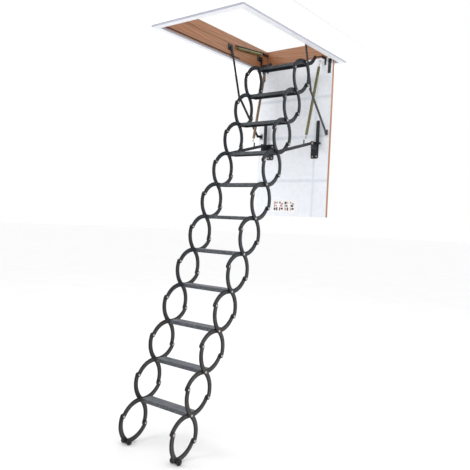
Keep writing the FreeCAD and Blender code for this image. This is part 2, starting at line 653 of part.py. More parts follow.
spring_top = (anchor[0], anchor[1] - 30)
spring_bottom = (hook_point[0], hook_point[1] + 52)
spring_bottom_x = dim("strut_x") + 14
hatch_spring_ends = ((190, 80), (560, 122))
hatch_rod_ends = ((180, 96), (590, 142))
stop_start = (585, 132)
ladder_springs, hatch_springs, hatch_rods = [], [], []
for side, word in SIDES.items():
    coil = slanted_rod(vec(side * dim("ladder_spring_x"), spring_top),
                       vec(side * spring_bottom_x, spring_bottom), dim("ladder_spring_diameter"))
    ladder_springs.append(feature(f"ladder_spring_{word}", coil))
    spring_x = side * (wall_x - dim("hatch_spring_inset"))
    coil = slanted_rod(*[vec(spring_x, end) for end in hatch_spring_ends], dim("hatch_spring_diameter"))
    hatch_springs.append(feature(f"hatch_spring_{word}", coil))
    thin = slanted_rod(*[vec(spring_x, end) for end in hatch_rod_ends], dim("hatch_rod_diameter"))
    stop = Part.makeCylinder(dim("hatch_stop_diameter") / 2, dim("hatch_stop_length"),
                             vec(spring_x, stop_start), along_y)
    hatch_rods.append(feature(f"hatch_rod_{word}", thin.fuse(stop)))
sub_part("ladder_springs", ladder_springs)
sub_part("hatch_springs", hatch_springs)
sub_part("hatch_spring_rods", hatch_rods)

# ---------------------------------------------------------------- check and write
doc.recompute()
for obj in doc.Objects:
    if "Invalid" in obj.State or "Error" in obj.State:
        raise RuntimeError(f"{obj.Label} failed: {obj.State}")
for name, obj in SUB_PARTS:
    if obj.Shape.isNull() or not obj.Shape.isValid():
        raise RuntimeError(f"{name} has no valid shape")
    if obj.Shape.Volume <= 0:
        raise RuntimeError(f"{name} has no volume")

os.makedirs("parts", exist_ok=True)
for name, obj in SUB_PARTS:
    obj.Shape.exportStep(f"parts/{name}.step")
print(len(SUB_PARTS), "sub-parts written")
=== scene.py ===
"""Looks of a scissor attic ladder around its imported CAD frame. All lengths are in metres."""

import math

import bmesh
import bpy
from mathutils import Matrix, Vector


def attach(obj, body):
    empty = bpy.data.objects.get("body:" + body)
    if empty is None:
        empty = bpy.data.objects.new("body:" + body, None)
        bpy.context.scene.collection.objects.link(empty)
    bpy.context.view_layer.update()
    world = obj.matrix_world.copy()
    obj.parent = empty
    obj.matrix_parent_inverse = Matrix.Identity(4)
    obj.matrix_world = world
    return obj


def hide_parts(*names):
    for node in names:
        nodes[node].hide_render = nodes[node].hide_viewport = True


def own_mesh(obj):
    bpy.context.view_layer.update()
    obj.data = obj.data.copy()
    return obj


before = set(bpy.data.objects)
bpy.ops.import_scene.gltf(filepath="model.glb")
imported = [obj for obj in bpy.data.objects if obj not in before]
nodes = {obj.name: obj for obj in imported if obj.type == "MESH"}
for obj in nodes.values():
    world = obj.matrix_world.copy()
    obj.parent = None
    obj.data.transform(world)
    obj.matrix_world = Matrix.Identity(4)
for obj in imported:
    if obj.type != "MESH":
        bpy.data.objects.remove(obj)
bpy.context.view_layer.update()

SIDES = (1, -1)
CROSSINGS = 12

# ---------------------------------------------------------------- ladder geometry
CROSSING_Y, CROSSING_Z = 0.360, -0.069
GOING, RISE = 0.120, 0.250
JOINT_SPREAD = 0.109
ARC_RADIUS = 0.155
GAUGE = 0.222
LAYER_GAP = 0.0006
LINK_HALF_WIDTH = 0.0155
LINK_THICKNESS = 0.012
CELL = math.hypot(RISE, GOING)
AXIS_ANGLE = math.atan2(-RISE, -GOING)
HALF_LINK = math.hypot(CELL / 2, JOINT_SPREAD)
OPENING_ANGLE = math.atan2(JOINT_SPREAD, CELL / 2)
BEND = math.asin(HALF_LINK / 2 / ARC_RADIUS)
INNER_LAYER = GAUGE - LAYER_GAP / 2 - LINK_THICKNESS
OUTER_LAYER = GAUGE + LAYER_GAP / 2
LID_FACE = 0.582
PLATE = 0.003


# ---------------------------------------------------------------- node materials
def linear(red, green, blue):
    """Colour of 0-255 display values as a linear RGBA."""
    parts = []
    for value in (red, green, blue):
        share = value / 255
        parts.append(share / 12.92 if share < 0.04045 else ((share + 0.055) / 1.055) ** 2.4)
    return (*parts, 1.0)


class Finish:
    """A Principled material with short calls for its texture nodes."""

    def __init__(self, name, roughness, metallic=0.0, **constants):
        self.material = bpy.data.materials.new(name)
        self.material.use_nodes = True
        self.tree = self.material.node_tree
        self.shader = self.tree.nodes["Principled BSDF"]
        self.shader.inputs["Roughness"].default_value = roughness
        self.shader.inputs["Metallic"].default_value = metallic
        for label, value in constants.items():
            self.shader.inputs[label.replace("_", " ")].default_value = value
        self.coordinates = self.add("ShaderNodeTexCoord")

    def add(self, kind, **settings):
        node = self.tree.nodes.new(kind)
        for key, value in settings.items():
            setattr(node, key, value)
        return node

    def join(self, source, target):
        self.tree.links.new(source, target)

    def feed(self, sockets, values):
        """Links or sets each socket; a value may be another node's socket."""
        for socket, value in zip(sockets, values):
            if isinstance(value, bpy.types.NodeSocket):
                self.join(value, socket)
            else:
                socket.default_value = value

    def place(self, scale=(1, 1, 1), output="Object"):
        """Texture coordinates stretched per axis."""
        mapping = self.add("ShaderNodeMapping")
        mapping.inputs["Scale"].default_value = scale
        self.join(self.coordinates.outputs[output], mapping.inputs["Vector"])
        return mapping.outputs["Vector"]

    def noise(self, scale, detail=3.0, roughness=0.55, distortion=0.0, at=None):
        node = self.add("ShaderNodeTexNoise")
        node.inputs["Scale"].default_value = scale
        node.inputs["Detail"].default_value = detail
        node.inputs["Roughness"].default_value = roughness
        node.inputs["Distortion"].default_value = distortion
        self.join(at or self.place(), node.inputs["Vector"])
        return node.outputs["Fac"]

    def cells(self, scale, at=None, feature="F1", output="Distance"):
        node = self.add("ShaderNodeTexVoronoi", feature=feature)
        node.inputs["Scale"].default_value = scale
        self.join(at or self.place(), node.inputs["Vector"])
        return node.outputs[output]

    def ramp(self, value, *stops):
        """Colour ramp from (position, colour) stops; a plain number makes a grey."""
        node = self.add("ShaderNodeValToRGB")
        elements = node.color_ramp.elements
        while len(elements) < len(stops):
            elements.new(0.5)
        for element, (position, colour) in zip(elements, stops):
            element.position = position
            element.color = (colour, colour, colour, 1) if isinstance(colour, (int, float)) else colour
        self.join(value, node.inputs["Fac"])
        return node.outputs["Color"]

    def mix(self, share, first, second, blend_type="MIX"):
        """Mix of two colours; each may be a socket or a colour."""
        node = self.add("ShaderNodeMix", data_type="RGBA", blend_type=blend_type)
        self.feed((node.inputs[0], node.inputs[6], node.inputs[7]), (share, first, second))
        return node.outputs[2]

    def maths(self, operation, first, second):
        node = self.add("ShaderNodeMath", operation=operation)
        self.feed(node.inputs, (first, second))
        return node.outputs[0]

    def colour(self, socket):
        self.join(socket, self.shader.inputs["Base Color"])
        return self

    def roughness(self, socket):
        self.join(socket, self.shader.inputs["Roughness"])
        return self

    def bump(self, height, strength, distance):
        node = self.add("ShaderNodeBump")
        node.inputs["Strength"].default_value = strength
        node.inputs["Distance"].default_value = distance
        self.join(height, node.inputs["Height"])
        self.join(node.outputs["Normal"], self.shader.inputs["Normal"])
        return self


def powder_coat(name, dark, light, grain=900.0):
    """Powder-coated steel: orange peel, cloudy tone and a little rubbed sheen."""
    finish = Finish(name, 0.46, Specular_IOR_Level=0.3)
    clouds = finish.noise(14.0, 4.0)
    tone = finish.ramp(clouds, (0.3, dark), (0.72, light))
    specks = finish.ramp(finish.noise(grain * 1.7, 2.0), (0.62, 0.0), (0.78, 0.22))
    finish.colour(finish.mix(specks, tone, linear(150, 152, 156)))
    finish.roughness(finish.ramp(finish.noise(40.0, 3.0), (0.3, 0.34), (0.7, 0.5)))
    return finish.bump(finish.noise(grain, 2.0), 0.16, 0.0004)


def pine(name, grain_axis, pale, mid, dark):
    """Pine board: rings stretched along the grain, fine pores, knots and a satin oil finish."""
    finish = Finish(name, 0.48)
    along = [1.0, 1.0, 1.0]
    along[grain_axis] = 0.07
    stretched = finish.place(along)
    wander = finish.noise(5.0, 3.0, at=stretched)
    wave = finish.add("ShaderNodeTexWave", wave_type="BANDS", bands_direction="DIAGONAL",
                      wave_profile="SAW")
    wave.inputs["Scale"].default_value = 26.0
    wave.inputs["Distortion"].default_value = 7.0
    wave.inputs["Detail"].default_value = 2.5
    wave.inputs["Detail Scale"].default_value = 0.9
    finish.join(stretched, wave.inputs["Vector"])
    rings = finish.ramp(wave.outputs["Fac"], (0.0, pale), (0.62, mid), (0.93, dark), (1.0, pale))
    pores = finish.ramp(finish.noise(420.0, 3.0, at=stretched), (0.42, 0.0), (0.75, 0.55))
    grained = finish.mix(pores, rings, mid)
    knots = finish.cells(5.0, at=finish.place([0.45 if share < 1 else 1.3 for share in along]))
    knotty = finish.mix(finish.ramp(knots, (0.028, 0.85), (0.075, 0.0)), grained, linear(104, 58, 30))
    warmth = finish.ramp(wander, (0.3, linear(232, 222, 214)), (0.7, linear(255, 255, 255)))
    finish.colour(finish.mix(1.0, knotty, warmth, "MULTIPLY"))
    finish.roughness(finish.ramp(finish.noise(160.0, 2.0, at=stretched), (0.3, 0.42), (0.7, 0.58)))
    return finish.bump(finish.noise(380.0, 3.0, at=stretched), 0.22, 0.0005)


def rolled_gloss(finish):
    """Soft gloss and rolled texture of a white board."""
    finish.roughness(finish.ramp(finish.noise(30.0, 3.0), (0.35, 0.24), (0.7, 0.34)))
    return finish.bump(finish.noise(600.0, 2.0), 0.06, 0.0003)


def laminate(name, cool, warm):
    """White board: near flat colour, faint clouds and rolled texture, soft gloss."""
    finish = Finish(name, 0.3)
    finish.colour(finish.ramp(finish.noise(3.0, 3.0), (0.3, cool), (0.7, warm)))
    return rolled_gloss(finish)


# sharpness of the painted shadow bands, upright and level
SHADOW_COLUMN_SHARPNESS, SHADOW_LEVEL_SHARPNESS = 22.0, 18.0


def board_with_painted_shadows(name, cool, warm, band, shadow_heights, shadow_column):
    """White board with painted shadows of the ladder as faint grey bands: level bands at some heights and
    one upright band.
    """
    finish = Finish(name, 0.3)
    split = finish.add("ShaderNodeSeparateXYZ")
    finish.join(finish.place(), split.inputs[0])

    def line(axis, place, sharpness):
        offset = finish.maths("ABSOLUTE", finish.maths("SUBTRACT", split.outputs[axis], place), 0.0)
        return finish.ramp(finish.maths("MULTIPLY", offset, sharpness), (0.08, 1.0), (0.35, 0.0))

    # painted shadows of the ladder: one upright band and level bands where the treads shade the board
    shadow_lines = line("X", shadow_column, SHADOW_COLUMN_SHARPNESS)
    for level in shadow_heights:
        shadow_lines = finish.maths("MAXIMUM", shadow_lines, line("Z", level, SHADOW_LEVEL_SHARPNESS))
    base = finish.ramp(finish.noise(3.0, 3.0), (0.3, cool), (0.7, warm))
    finish.colour(finish.mix(shadow_lines, base, band))
    return rolled_gloss(finish)


def paint_with_shaded_sides(name, face, edge, bottom):
    """White painted strip whose side faces, above the bottom face, are painted grey as painted shade, so
    the strip shows a grey outline.
    """
    finish = Finish(name, 0.35)
    split = finish.add("ShaderNodeSeparateXYZ")
    finish.join(finish.place(), split.inputs[0])
    height = finish.maths("SUBTRACT", split.outputs["Z"], bottom)
    # painted shade: the side faces above the bottom face are mixed towards the grey edge colour
    side = finish.ramp(finish.maths("MULTIPLY", height, 100.0), (0.04, 0.0), (0.12, 1.0))
    clouds = finish.ramp(finish.noise(9.0, 3.0), (0.3, face), (0.7, linear(245, 246, 249)))
    finish.colour(finish.mix(side, clouds, edge))
    finish.roughness(finish.ramp(finish.noise(30.0, 3.0), (0.35, 0.28), (0.7, 0.4)))
    return finish.bump(finish.noise(500.0, 2.0), 0.06, 0.0003)


def plated(name, dull, bright, roughness=0.34):
    """Zinc-plated steel: crystal patches, fine scratches."""
    finish = Finish(name, roughness, metallic=1.0)
    patches = finish.cells(260.0, output="Color")
    grey = finish.add("ShaderNodeRGBToBW")
    finish.join(patches, grey.inputs[0])
    finish.colour(finish.ramp(grey.outputs[0], (0.2, dull), (0.8, bright)))
    scratches = finish.noise(700.0, 3.0)
    finish.roughness(finish.ramp(scratches, (0.3, roughness - 0.08), (0.7, roughness + 0.12)))
    return finish.bump(finish.noise(1500.0, 2.0), 0.12, 0.0002)


def rubber(name, tone, dusty):
    """Matt rubber: dust in patches and a moulded grain."""
    finish = Finish(name, 0.8)
    finish.colour(finish.ramp(finish.noise(60.0, 4.0), (0.4, tone), (0.78, dusty)))
    finish.roughness(finish.ramp(finish.noise(90.0, 2.0), (0.3, 0.7), (0.7, 0.9)))
    return finish.bump(finish.noise(1100.0, 3.0), 0.3, 0.0005)


def foam(name):
    """Rigid foam core: closed cells."""
    finish = Finish(name, 0.9)
    tone = finish.cells(220.0)
    finish.colour(finish.ramp(tone, (0.0, linear(206, 198, 170)), (0.6, linear(236, 230, 208))))
    return finish.bump(finish.cells(220.0), 0.4, 0.001)


def tread_coat(name, dark):
    """Tread coating: grey powder coat, rubbed lighter in patches along the front edge."""
    finish = Finish(name, 0.45)
    base = finish.ramp(finish.noise(18.0, 4.0), (0.3, linear(dark, dark + 5, dark + 12)),
                       (0.7, linear(dark + 20, dark + 25, dark + 32)))
    split = finish.add("ShaderNodeSeparateXYZ")
    finish.join(finish.place(output="Generated"), split.inputs[0])
    edge = finish.ramp(split.outputs["Y"], (0.0, 0.75), (0.06, 0.0))
    scuffs = finish.ramp(finish.noise(120.0, 5.0, distortion=1.0), (0.5, 0.0), (0.72, 0.8))
    worn = finish.maths("MULTIPLY", edge, scuffs)
    finish.colour(finish.mix(worn, base, linear(150, 152, 156)))
    finish.roughness(finish.ramp(finish.noise(50.0, 3.0), (0.3, 0.36), (0.7, 0.55)))
    return finish.bump(finish.noise(950.0, 2.0), 0.18, 0.0004)


def studio_floor(name):
    """Pale matt floor with very faint clouds."""
    finish = Finish(name, 0.7)
    clouds = finish.noise(2.0, 3.0)
    finish.colour(finish.ramp(clouds, (0.3, linear(250, 250, 250)), (0.7, linear(253, 253, 253))))
    return finish.bump(finish.noise(40.0, 3.0), 0.03, 0.001)


PINE_PALE, PINE_MID, PINE_DARK = linear(188, 137, 98), linear(175, 122, 84), linear(152, 102, 68)
# painted shade and light by height: the coat is painted darker and bluer on the upper links and lighter and
# browner on the lower ones
LINK_COATS_SHADED_BY_HEIGHT = [powder_coat("link_coat_upper_shaded", linear(29, 36, 44), linear(46, 55, 65)),
              powder_coat("link_coat_middle_half_shaded", linear(38, 42, 48), linear(56, 60, 66)),
              powder_coat("link_coat_lower_lit", linear(46, 42, 41), linear(70, 65, 63))]
# painted shade: the sides and rounded edges of the links are painted darker than their faces
LINK_EDGE_PAINTED_SHADE = powder_coat("link_edge_painted_shade", linear(18, 19, 23), linear(30, 32, 37))
BRACKET_COAT = powder_coat("bracket_powder_coat", linear(22, 24, 28), linear(38, 40, 45), 1100.0)
# painted shade by height: the upper treads are painted darker, the lower ones lighter
TREAD_COATS_SHADED_BY_HEIGHT = [tread_coat(f"tread_coat_{level}", dark) for level, dark in enumerate((28, 38, 46))]
# painted light on the tread tops: the ribs take a lighter coat than their tread, lighter still on the lower
# treads
RIB_COATS_PAINTED_LIGHT = [tread_coat(f"rib_top_painted_light_{level}", dark) for level, dark in enumerate((36, 62, 88))]
PINE_ALONG = {axis: pine(f"pine_along_{name}", axis, PINE_PALE, PINE_MID, PINE_DARK)
              for axis, name in enumerate("xyz")}
LID_BOARD = laminate("lid_laminate", linear(235, 239, 246), linear(240, 244, 249))
# heights of the painted tread shadows and the x of the painted upright shadow on the lid's attic face
TREAD_SHADOW_HEIGHTS, LADDER_SHADOW_COLUMN = (-0.30, -0.62, -0.985), 0.215
LID_INSIDE_PAINTED_SHADOWS = board_with_painted_shadows("lid_laminate_inside_painted_shadows", linear(235, 239, 246), linear(240, 244, 249),
                          linear(220, 225, 234), TREAD_SHADOW_HEIGHTS, LADDER_SHADOW_COLUMN)
# height of the casing's bottom face; the painted shade on the side faces begins above it
CASING_BOTTOM = -0.016
CASING_PAINT_SHADED_SIDES = paint_with_shaded_sides("casing_paint_shaded_sides", linear(234, 236, 242), linear(176, 178, 190), CASING_BOTTOM)
SEAL = rubber("seal_rubber_black", linear(26, 26, 28), linear(52, 52, 54))
FOOT = rubber("foot_rubber_black", linear(20, 20, 21), linear(58, 56, 54))
ZINC = plated("zinc_plate", linear(182, 172, 168), linear(222, 213, 208))
DARK_ZINC = plated("black_zinc_plate", linear(58, 60, 66), linear(92, 94, 100), 0.42)
SPRING_ZINC = plated("olive_zinc_plate", linear(118, 116, 82), linear(166, 162, 122), 0.4)
AMBER_ZINC = plated("amber_zinc_plate", linear(150, 124, 78), linear(190, 160, 104), 0.38)
BROWN_ZINC = plated("brown_zinc_plate", linear(138, 114, 96), linear(178, 152, 132), 0.45)
FOAM = foam("foam_core")
LABEL_PAPER = laminate("label_paper", linear(240, 238, 236), linear(248, 246, 244))
LABEL_INK = rubber("label_ink", linear(58, 54, 60), linear(78, 72, 78))
LABEL_TINT = rubber("label_tint", linear(196, 150, 152), linear(208, 164, 166))


# ---------------------------------------------------------------- mesh helpers
def mesh_piece(name, body, finishes, build, smooth_angle=35.0):
    """Object whose mesh `build` fills in a bmesh; it rides on a body."""
    mesh = bpy.data.meshes.new(name)
    shape = bmesh.new()
    build(shape)
    bmesh.ops.recalc_face_normals(shape, faces=shape.faces)
    shape.to_mesh(mesh)
    shape.free()
    for finish in finishes:
        mesh.materials.append(finish.material)
    mesh.shade_smooth()
    mesh.set_sharp_from_angle(angle=math.radians(smooth_angle))
    piece = bpy.data.objects.new(name, mesh)
    bpy.context.scene.collection.objects.link(piece)
    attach(piece, body)
    return piece


def ring_of(shape, points):
    """New vertices at the given points."""
    return [shape.verts.new(point) for point in points]


def bridge(shape, first, second, material=0):
    """Quads between two rings of the same length."""
    for index in range(len(first)):
        following = (index + 1) % len(first)
        face = shape.faces.new((first[index], first[following], second[following], second[index]))
        face.material_index = material


def cap(shape, ring, material=0):
    shape.faces.new(ring).material_index = material


def circle_of(shape, centre, across, other, radius, steps):
    """Ring of vertices round a centre, in the plane of two unit directions."""
    return ring_of(shape, [centre + across * (radius * math.cos(turn)) + other * (radius * math.sin(turn))
                           for turn in (2 * math.pi * step / steps for step in range(steps))])


def skin_over(shape, rings, material=0):
    """Closed surface over a row of rings, with a face on each end."""
    for first, second in zip(rings, rings[1:]):
        bridge(shape, first, second, material)
    cap(shape, rings[0], material)
    cap(shape, rings[-1], material)


def turned_part(shape, start, axis, profile, steps=20):
    """Closed body of revolution; profile lists (radius, height) from one end to the other."""
    axis = Vector(axis).normalized()
    across = axis.orthogonal().normalized()
    other = axis.cross(across)
    skin_over(shape, [circle_of(shape, Vector(start) + axis * height, across, other, radius, steps)
                      for radius, height in profile])


def dome(radius, height, base):
    """Profile of a domed head from its rim to its crown."""
    crown = [(1.0, 0.0), (1.0, 0.22), (0.93, 0.5), (0.72, 0.78), (0.42, 0.94), (0.12, 1.0)]
    return [(radius * share, base + height * rise) for share, rise in crown]


def softened(node_name, width, finish, segments=2):
    """Gives a CAD node its finish and small rounded edges."""
    node = nodes[node_name]
    weld = node.modifiers.new("weld", "WELD")
    weld.merge_threshold = 1e-6
    if width:
        rounded = node.modifiers.new("rounded", "BEVEL")
        rounded.width = width
        rounded.segments = segments
        rounded.limit_method = "ANGLE"
        rounded.angle_limit = math.radians(40)
        rounded.harden_normals = True
    node.data.materials.clear()
    node.data.materials.append(finish.material)


# ---------------------------------------------------------------- scissor links
def crossing(number):
    """(y, z) of a crossing of the two links of one level."""
    return (CROSSING_Y - GOING * (number - 1), CROSSING_Z - RISE * (number - 1))


def turned(along, across, angle):
    """Point turned in the plane of the links."""
    return (along * math.cos(angle) - across * math.sin(angle),
            along * math.sin(angle) + across * math.cos(angle))


def link_angle(towards):
    """Direction of a link; `towards` names its layer."""
    return AXIS_ANGLE - OPENING_ANGLE if towards == "inner" else AXIS_ANGLE + OPENING_ANGLE


def link_end(number, towards, sign):
    """(y, z) of a link's end joint; sign 1 is the lower end."""
    centre = crossing(number)
    offset = turned(sign * HALF_LINK, 0, link_angle(towards))
    return (centre[0] + offset[0], centre[1] + offset[1])


ARC_STEPS = 12
CAP_STEPS = 9


def link_outline(offset, signs):
    """Closed outline of a link at a distance from its centre line, as (along, across) points."""
    points = []

    def arc(sign, side, backwards):
        radius = ARC_RADIUS + side * offset
        for step in range(ARC_STEPS):
            share = step / ARC_STEPS
            turn = BEND * (1 - 2 * share) if backwards else BEND * (2 * share - 1)
            points.append((sign * (HALF_LINK / 2 + radius * math.sin(turn)),
                           sign * (ARC_RADIUS * math.cos(BEND) - radius * math.cos(turn))))

    def round_end(sign, centre, first, last):
        for step in range(CAP_STEPS):
            turn = first + (last - first) * step / CAP_STEPS
            points.append((sign * (centre + offset * math.cos(turn)), sign * offset * math.sin(turn)))

    half = math.pi / 2
    for sign in signs:
        arc(sign, 1, False)
        round_end(sign, HALF_LINK, BEND - half, BEND + half)
        arc(sign, -1, True)
        if len(signs) == 1:
            round_end(sign, 0.0, half - BEND, 3 * half - BEND)
    return points


LINK_PROFILE = ((0.0052, 0.0), (0.0018, 0.0005), (0.0004, 0.0018), (0.0, 0.0034))


def add_link(shape, side, number, towards, signs):
    """S-shaped link of a pressed profile with broad rounded edges."""
    low = INNER_LAYER if towards == "inner" else OUTER_LAYER
    turn = 1 if towards == "inner" else -1
    centre = crossing(number)
    angle = link_angle(towards)
    layers = [(LINK_HALF_WIDTH - inset, depth) for inset, depth in LINK_PROFILE]
    layers += [(width, LINK_THICKNESS - depth) for width, depth in reversed(layers)]
    rings = []
    for offset, depth in layers:
        ring = []
        for along, across in link_outline(offset, signs):
            y, z = turned(along, turn * across, angle)
            ring.append((side * (low + depth), centre[0] + y, centre[1] + z))
        rings.append(ring_of(shape, ring))
    # the sides and rounded edges take material 1, the darker coat of painted shade
    for first, second in zip(rings, rings[1:]):
        bridge(shape, first, second, 1)
    for ring in (rings[0], rings[-1]):
        cap(shape, ring)


RIVET_RADIUS = 0.00395
HEAD_RADIUS, HEAD_HEIGHT = 0.0075, 0.0025


def add_rivet(shape, side, point, inner_head):
    """Rivet through both layers: domed head outside, and inside where there is room."""
    low, high = INNER_LAYER, OUTER_LAYER + LINK_THICKNESS
    head = dome(HEAD_RADIUS, HEAD_HEIGHT, high)
    if inner_head:
        start = [(radius, low - (height - high)) for radius, height in reversed(head)]
    else:
        start = [(RIVET_RADIUS, low + 0.0002)]
    profile = start + [(RIVET_RADIUS, low), (RIVET_RADIUS, high)] + head
    turned_part(shape, (0, point[0], point[1]), (side, 0, 0), profile)


for number in range(1, CROSSINGS + 1):
    last = number == CROSSINGS
    for towards, signs in (("inner", (-1,) if last else (1, -1)),
                           ("outer", (1,) if number == 1 else (-1,) if last else (1, -1))):
        def build_links(shape, number=number, towards=towards, signs=signs):
            for side in SIDES:
                add_link(shape, side, number, towards, signs)

        # the link faces take their tier's coat of painted shade by height, the sides and edges the darker
        # coat of painted shade
        bars = mesh_piece(f"{towards}_bars_{number:02d}", f"{towards}_{number:02d}",
                          [LINK_COATS_SHADED_BY_HEIGHT[(number - 1) // 4], LINK_EDGE_PAINTED_SHADE], build_links, 20.0)
        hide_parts(f"{towards}_links_{number:02d}")

    def build_rivets(shape, number=number, last=last):
        for side in SIDES:
            if not last:
                add_rivet(shape, side, crossing(number), False)
                add_rivet(shape, side, link_end(number, "outer", 1), True)
            if number > 1:
                add_rivet(shape, side, link_end(number, "outer", -1), True)

    mesh_piece(f"rivets_{number:02d}", f"outer_{number:02d}", [ZINC], build_rivets)

# ---------------------------------------------------------------- treads
TREAD_FRONT, TREAD_DEPTH, TREAD_TOP = 0.012, 0.084, 0.010
RIB_COUNT, RIB_WIDTH, RIB_HEIGHT, RIB_SINK = 5, 0.0098, 0.0009, 0.0001
RIB_REACH = 0.205
RIB_ARCH = ((-1.0, 0.0), (-0.75, 0.6), (-0.3, 0.95), (0.3, 0.95), (0.75, 0.6), (1.0, 0.0))
RIB_ENDS = ((-1.0, 0.15), (-0.985, 0.8), (-0.97, 1.0), (0.97, 1.0), (0.985, 0.8), (1.0, 0.15))
for number in range(1, CROSSINGS):
    # level picks the coats of the tread and its ribs, darker or lighter by height as painted shade and
    # light
    level = min((number - 1) // 3, 2)
    softened(f"tread_{number:02d}", 0.0016, TREAD_COATS_SHADED_BY_HEIGHT[level], 3)

    def build_ribs(shape, number=number):
        y_front = crossing(number)[0] - TREAD_FRONT
        z_top = crossing(number)[1] + TREAD_TOP - RIB_SINK
        for rib in range(RIB_COUNT):
            middle = y_front + TREAD_DEPTH * (rib + 0.75) / (RIB_COUNT + 0.5)
            rings = []
            for share, full in RIB_ENDS:
                rings.append(ring_of(shape, [(share * RIB_REACH, middle + across * full * RIB_WIDTH / 2,
                                              z_top + up * full * RIB_HEIGHT) for across, up in RIB_ARCH]))
            skin_over(shape, rings)

    mesh_piece(f"tread_ribs_{number:02d}", f"inner_{number:02d}", [RIB_COATS_PAINTED_LIGHT[level]],
               build_ribs)

# ---------------------------------------------------------------- CAD nodes that stay
softened("frame_side_left", 0.0015, PINE_ALONG[1])
softened("frame_side_right", 0.0015, PINE_ALONG[1])
softened("frame_end_front", 0.0012, PINE_ALONG[0])
softened("frame_end_hinge", 0.0012, PINE_ALONG[0])
softened("casing_strips", 0.002, CASING_PAINT_SHADED_SIDES, 3)
softened("frame_seal", 0.0006, SEAL)
softened("lid_core", 0.0, FOAM)
softened("lid_edge_lipping", 0.0006, PINE_ALONG[2])
# the lid's attic face carries the painted shadows of the ladder
softened("lid_skin_attic", 0.0008, LID_INSIDE_PAINTED_SHADOWS)
softened("lid_skin_room", 0.0008, LID_BOARD)
for bracket in ("hinge_wall_plates", "hinge_lid_plates", "hinge_links", "strut_brackets", "support_struts",
                "stay_wall_brackets", "stay_upper_arms", "stay_lower_arms", "stay_lid_brackets"):
    softened(bracket, 0.0007, BRACKET_COAT)
softened("anchor_brackets", 0.0008, BRACKET_COAT)
softened("hatch_spring_rods", 0.0006, BRACKET_COAT)
softened("foot_axles", 0.0005, ZINC)
softened("rubber_feet", 0.0, FOOT)


# ---------------------------------------------------------------- coil springs
WIRE_RADIUS, WIRE_SIDES = 0.0018, 7
COIL_PITCH, COIL_STEPS = 0.0043, 14


def tube(shape, path, radius, material):
    """Round wire along a list of points."""
    rings = []
    normal = (path[1] - path[0]).orthogonal().normalized()
    for index, point in enumerate(path):
        before = path[max(index - 1, 0)]
        after = path[min(index + 1, len(path) - 1)]
        tangent = (after - before).normalized()
        normal = (normal - tangent * normal.dot(tangent)).normalized()
        other = tangent.cross(normal)
        rings.append(circle_of(shape, point, normal, other, radius, WIRE_SIDES))
    skin_over(shape, rings, material)


def coil_path(start, end, coil_radius, lead_start, lead_end):
    """Centre line of an extension spring with a straight lead and a loop at each end."""
    axis = (end - start).normalized()
    across = Vector((1, 0, 0))
    across = (across - axis * across.dot(axis)).normalized()
    other = axis.cross(across)
    length = (end - start).length
    loop_radius = coil_radius * 0.8

    def loop(centre, sign):
        """Open eye at an end, in the plane of the axis and `other`."""
        eye = []
        for step in range(11):
            turn = math.radians(150 - 27 * step)
            eye.append(centre + axis * (sign * loop_radius * math.cos(turn))
                       + other * (loop_radius * math.sin(turn)))
        return eye

    points = loop(start + axis * loop_radius, -1)
    points.append(start + axis * (lead_start * 0.9))
    turns = (length - lead_start - lead_end) / COIL_PITCH
    count = int(turns * COIL_STEPS)
    for step in range(count + 1):
        turn = 2 * math.pi * step / COIL_STEPS
        reach = coil_radius * min(1.0, (step + 2) / COIL_STEPS, (count - step + 2) / COIL_STEPS)
        points.append(start + axis * (lead_start + COIL_PITCH * step / COIL_STEPS)
                      + across * (reach * math.cos(turn)) + other * (reach * math.sin(turn)))
    points.append(end - axis * (lead_end * 0.9))
    points.extend(reversed(loop(end - axis * loop_radius, 1)))
    return points


LADDER_SPRING_TOP = (0.266, 0.5183, -0.0212)
LADDER_SPRING_LOW = (0.254, 0.3652, -0.6710)
LADDER_COIL_RADIUS, LADDER_LEADS = 0.0101, (0.055, 0.03)
HATCH_SPRING_FRONT = (0.338, 0.190, 0.080)
HATCH_SPRING_BACK = (0.338, 0.560, 0.122)
HATCH_COIL_RADIUS, HATCH_LEADS = 0.0091, (0.02, 0.016)


def on_side(place, side):
    """Point mirrored to a side of the ladder."""
    return Vector((side * place[0], place[1], place[2]))


def build_ladder_springs(shape):
    for side in SIDES:
        path = coil_path(on_side(LADDER_SPRING_TOP, side), on_side(LADDER_SPRING_LOW, side),
                         LADDER_COIL_RADIUS, *LADDER_LEADS)
        tube(shape, path, WIRE_RADIUS, 0 if side > 0 else 1)


ladder_springs = mesh_piece("ladder_spring_coils", "lid", [SPRING_ZINC, BROWN_ZINC],
                            build_ladder_springs, 60.0)
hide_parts("ladder_springs")
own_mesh(ladder_springs)


def build_hatch_springs(shape):
    for side in SIDES:
        path = coil_path(on_side(HATCH_SPRING_FRONT, side), on_side(HATCH_SPRING_BACK, side),
                         HATCH_COIL_RADIUS, *HATCH_LEADS)
        tube(shape, path, WIRE_RADIUS, 0)


hatch_springs = mesh_piece("hatch_spring_coils", "hatch_frame", [SPRING_ZINC],
                           build_hatch_springs, 60.0)
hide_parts("hatch_springs")


# ---------------------------------------------------------------- screws, bolts and nuts
SCREW_RADIUS, SCREW_HEIGHT, SCREW_STEPS = 0.0042, 0.0018, 24


